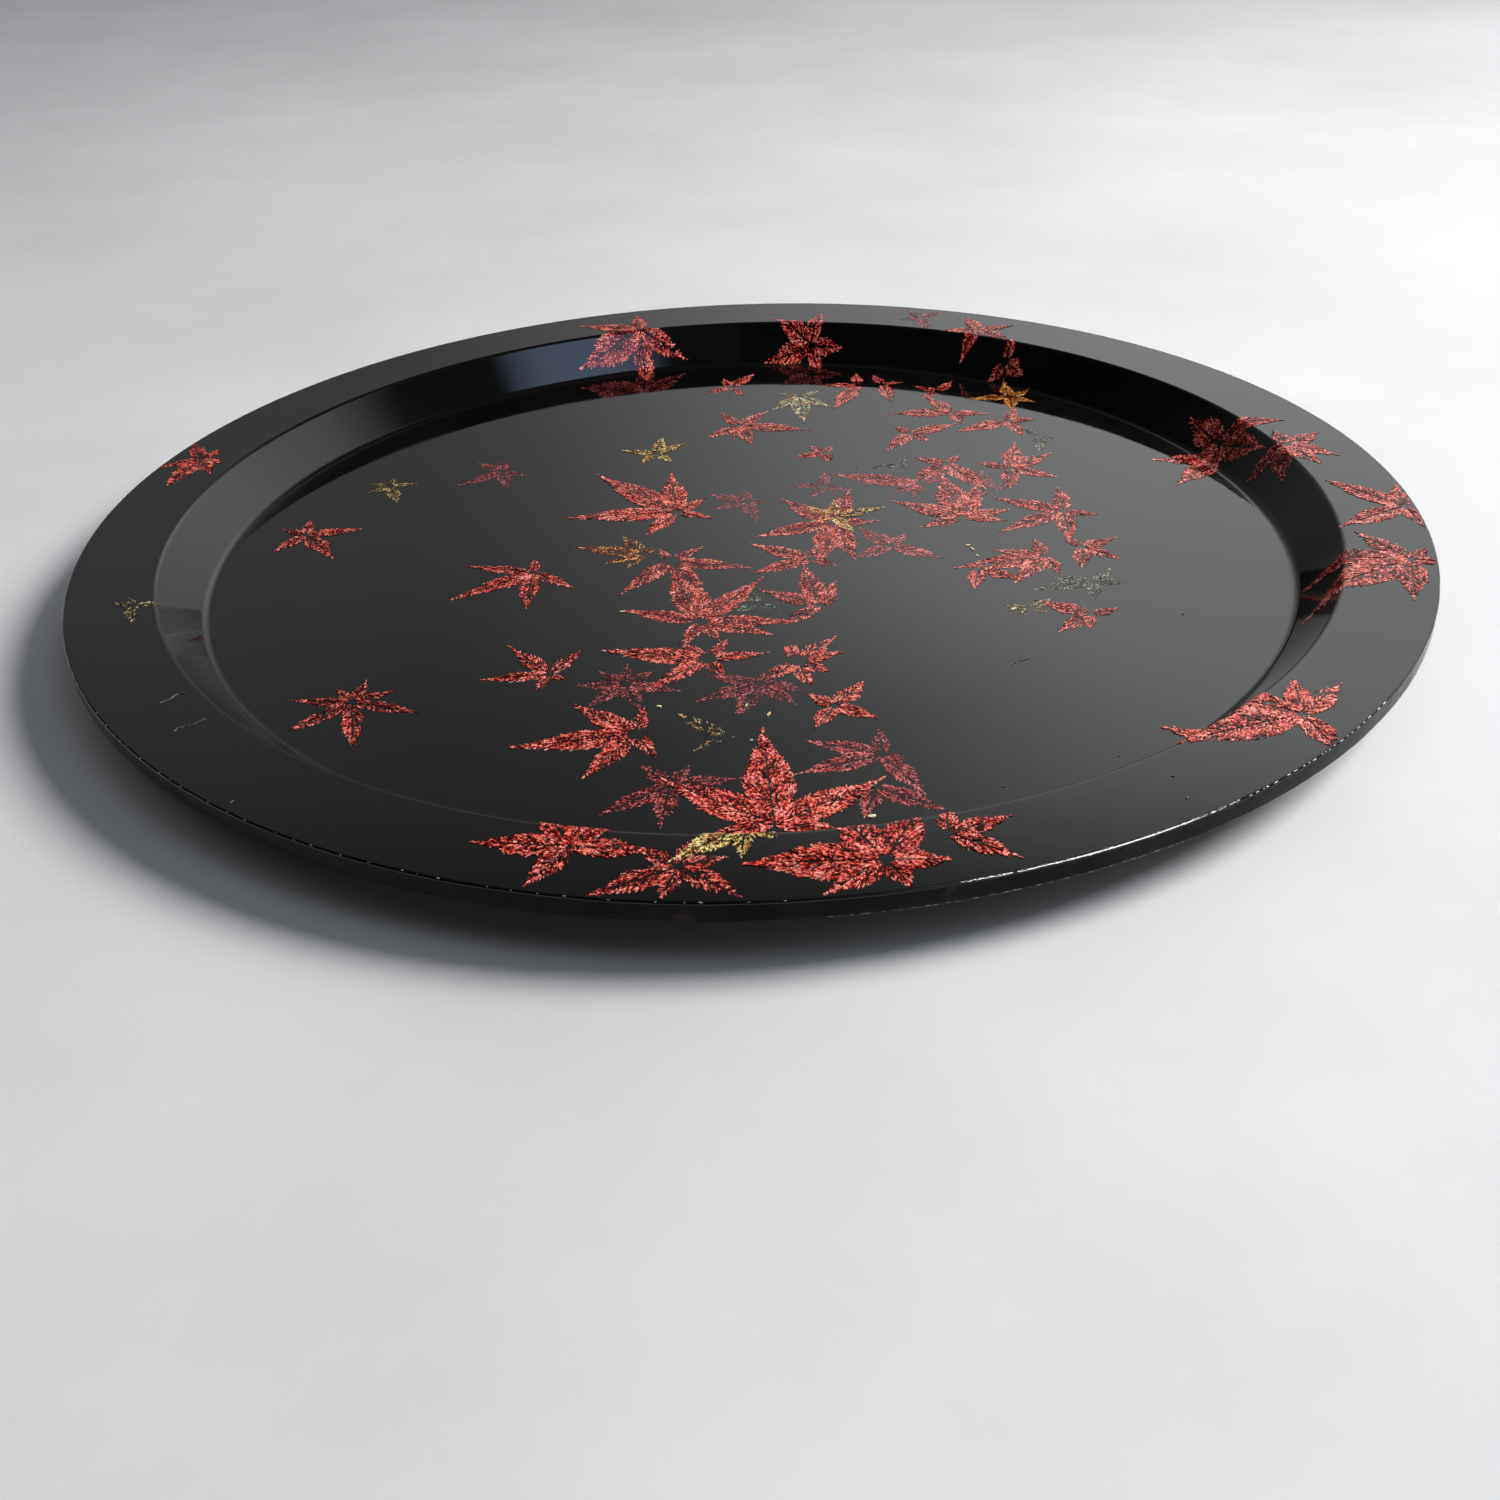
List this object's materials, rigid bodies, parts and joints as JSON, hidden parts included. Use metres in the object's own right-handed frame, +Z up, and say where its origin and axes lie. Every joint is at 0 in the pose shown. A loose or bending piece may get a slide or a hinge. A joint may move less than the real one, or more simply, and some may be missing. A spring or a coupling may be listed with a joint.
{
  "type": "round serving tray",
  "caption": "Shallow round serving tray with a flat rim and a sloping wall, in glossy black lacquer printed with scattered maple leaves.",
  "frame": {"origin": "centre of the flat base, on the surface the tray stands on", "axes": "+Z up out of the serving floor; +Y to the far side of the leaf layout; +X to its right"},
  "size_m": [0.42, 0.42, 0.0195],
  "materials": {
    "fibre_board": "plain pressed wood fibre, hidden",
    "black_lacquer": "high gloss, lightly worn",
    "ink_crimson": "printed ink under a gloss coat",
    "ink_scarlet": "printed ink under a gloss coat",
    "ink_vermilion": "printed ink under a gloss coat",
    "ink_gold": "printed ink under a gloss coat",
    "ink_amber": "printed ink under a gloss coat",
    "ink_olive": "printed ink under a gloss coat",
    "ink_sage": "printed ink under a gloss coat",
    "ink_straw": "printed ink under a gloss coat"
  },
  "bodies": {
    "root": {"core_board": "fibre_board", "top_lacquer": "black_lacquer", "base_lacquer": "black_lacquer", "under_rim_lacquer": "black_lacquer", "edge_band": "black_lacquer", "leaves_dim_centre": "ink_crimson", "leaf_dim_right_centre": "ink_crimson", "leaf_dim_left": "ink_crimson", "leaves_dim_front": "ink_crimson", "leaf_dim_middle": "ink_crimson", "leaf_dim_under_left": "ink_crimson", "leaves_dim_under_right": "ink_crimson", "leaf_red_front_rim": "ink_scarlet", "leaf_dim_back_rim": "ink_crimson", "leaf_dim_right": "ink_crimson", "leaves_sage": "ink_sage", "leaves_olive": "ink_olive", "leaf_amber_mid_left": "ink_amber", "leaf_pale_back": "ink_straw", "leaf_amber_back": "ink_amber", "leaf_red_heart": "ink_scarlet", "leaf_red_mid": "ink_scarlet", "leaf_red_mid_right": "ink_scarlet", "leaf_red_mid_left": "ink_scarlet", "leaf_red_large": "ink_scarlet", "leaf_red_right_upper": "ink_scarlet", "leaf_red_right_centre": "ink_scarlet", "leaf_red_right_outer": "ink_scarlet", "leaf_red_right_edge": "ink_scarlet", "leaves_red_right_lower": "ink_scarlet", "leaf_red_back_left": "ink_scarlet", "leaf_red_back_small": "ink_scarlet", "leaves_red_upper_right": "ink_scarlet", "leaves_red_back_floor": "ink_scarlet", "leaves_red_far_right": "ink_scarlet", "leaf_red_back_wall": "ink_scarlet", "leaf_red_far_left_rim": "ink_scarlet", "leaf_red_right_wall": "ink_scarlet", "leaf_red_right_rim": "ink_scarlet", "leaf_red_right_rim_edge": "ink_scarlet", "leaf_red_right_rim_lower": "ink_scarlet", "leaf_red_left": "ink_scarlet", "leaf_gold_centre": "ink_gold", "leaf_gold_back_left": "ink_gold", "leaf_bright_rim_left": "ink_vermilion", "leaf_bright_far_left": "ink_vermilion", "leaf_bright_upper_left": "ink_vermilion", "leaf_bright_left": "ink_vermilion", "leaf_bright_mid_left": "ink_vermilion", "leaf_bright_centre": "ink_vermilion", "leaf_bright_broken": "ink_vermilion", "leaf_bright_lower_left": "ink_vermilion", "leaf_bright_lower_right": "ink_vermilion", "leaf_bright_front": "ink_vermilion", "leaf_gold_front_rim": "ink_gold", "leaf_bright_rim_front_left": "ink_vermilion", "leaf_bright_rim_front": "ink_vermilion", "leaf_bright_rim_front_right": "ink_vermilion", "leaf_bright_rim_right": "ink_vermilion"}
  },
  "joints": []
}
